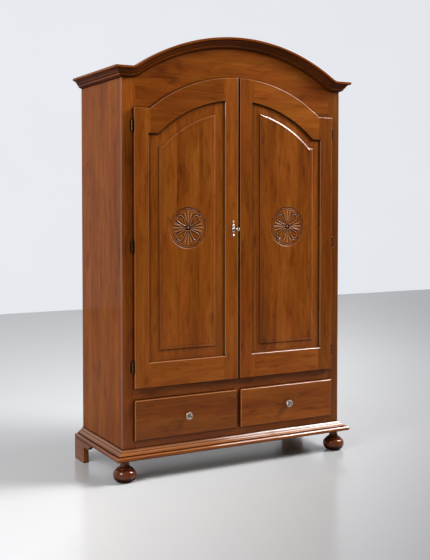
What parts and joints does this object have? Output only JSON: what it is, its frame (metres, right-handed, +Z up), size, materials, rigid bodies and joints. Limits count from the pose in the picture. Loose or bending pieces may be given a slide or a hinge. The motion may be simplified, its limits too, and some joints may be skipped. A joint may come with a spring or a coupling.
{
  "type": "kas cupboard",
  "caption": "Free-standing kas cupboard with arched cornice, arched panelled doors with carved rosettes, drawers below, ball feet in front and bracket feet behind.",
  "frame": {"origin": "on the floor, at the centre of the whole piece's box in plan", "axes": "+Z up, the doors face -Y, +X to the viewer's right"},
  "size_m": [1.372, 0.621, 2.1867],
  "materials": {
    "stained_wood": "brown stained fine-grained wood under satin lacquer",
    "plain_wood": "lightly stained softwood, matt",
    "hinge_brass": "aged brass, satin",
    "steel": "plain steel, satin",
    "pewter": "aged pewter, cast, with dark recesses"
  },
  "bodies": {
    "carcass": {"side_panel_right": "stained_wood", "side_panel_left": "stained_wood", "front_stile_right": "stained_wood", "front_stile_left": "stained_wood", "frieze_board": "stained_wood", "middle_rail": "stained_wood", "bottom_rail": "stained_wood", "drawer_divider": "stained_wood", "top_board": "plain_wood", "cupboard_floor": "plain_wood", "bottom_board": "plain_wood", "back_boards": "plain_wood", "hat_shelf": "plain_wood", "shelf_cleats": "plain_wood", "clothes_rail": "steel", "rail_sockets": "steel", "drawer_runners": "plain_wood", "drawer_guides": "plain_wood", "cornice_arch": "stained_wood", "cornice_return_right": "stained_wood", "cornice_return_left": "stained_wood", "base_frame_front": "stained_wood", "base_frame_right": "stained_wood", "base_frame_left": "stained_wood", "base_mouldings": "stained_wood", "ball_foot_right": "stained_wood", "ball_foot_left": "stained_wood", "rear_foot_right": "stained_wood", "rear_foot_left": "stained_wood", "rear_foot_blocks": "plain_wood", "hinge_posts": "hinge_brass"},
    "left_door": {"left_door_hinge_stile": "stained_wood", "left_door_meeting_stile": "stained_wood", "left_door_top_rail": "stained_wood", "left_door_bottom_rail": "stained_wood", "left_door_panel": "stained_wood", "left_hinge_sleeves": "hinge_brass", "lock_case": "steel", "escutcheon": "pewter"},
    "right_door": {"right_door_hinge_stile": "stained_wood", "right_door_meeting_stile": "stained_wood", "right_door_top_rail": "stained_wood", "right_door_bottom_rail": "stained_wood", "right_door_panel": "stained_wood", "right_hinge_sleeves": "hinge_brass", "strike_plate": "steel", "flush_bolt_plates": "steel"},
    "left_drawer": {"left_drawer_front": "stained_wood", "left_drawer_walls": "plain_wood", "left_drawer_bottom": "plain_wood", "left_drawer_knob": "pewter"},
    "right_drawer": {"right_drawer_front": "stained_wood", "right_drawer_walls": "plain_wood", "right_drawer_bottom": "plain_wood", "right_drawer_knob": "pewter"},
    "key": {"key": "pewter"},
    "lock_bolt": {"lock_bolt": "steel"},
    "top_flush_bolt": {"top_flush_bolt": "steel"},
    "bottom_flush_bolt": {"bottom_flush_bolt": "steel"}
  },
  "joints": [
    {"name": "left_door_hinge", "type": "hinge", "parent": "carcass", "child": "left_door", "pos_m": [-0.588, -0.2375, 1.22], "axis": [0, 0, -1], "range_deg": [0, 120]},
    {"name": "right_door_hinge", "type": "hinge", "parent": "carcass", "child": "right_door", "pos_m": [0.588, -0.2375, 1.22], "axis": [0, 0, 1], "range_deg": [0, 120]},
    {"name": "left_drawer_slide", "type": "slide", "parent": "carcass", "child": "left_drawer", "axis": [0, -1, 0], "range_m": [0, 0.38]},
    {"name": "right_drawer_slide", "type": "slide", "parent": "carcass", "child": "right_drawer", "axis": [0, -1, 0], "range_m": [0, 0.38]},
    {"name": "key_turn", "type": "hinge", "parent": "left_door", "child": "key", "pos_m": [-0.034, -0.2485, 1.22], "axis": [0, -1, 0], "range_deg": [0, 180]},
    {"name": "lock_bolt_slide", "type": "slide", "parent": "left_door", "child": "lock_bolt", "axis": [1, 0, 0], "range_m": [0, 0.0161]},
    {"name": "top_flush_bolt_slide", "type": "slide", "parent": "right_door", "child": "top_flush_bolt", "axis": [0, 0, 1], "range_m": [0, 0.015]},
    {"name": "bottom_flush_bolt_slide", "type": "slide", "parent": "right_door", "child": "bottom_flush_bolt", "axis": [0, 0, -1], "range_m": [0, 0.015]}
  ],
  "couplings": [
    {"joint": "lock_bolt_slide", "follows": "key_turn", "m_per_rad": 0.005093}
  ]
}
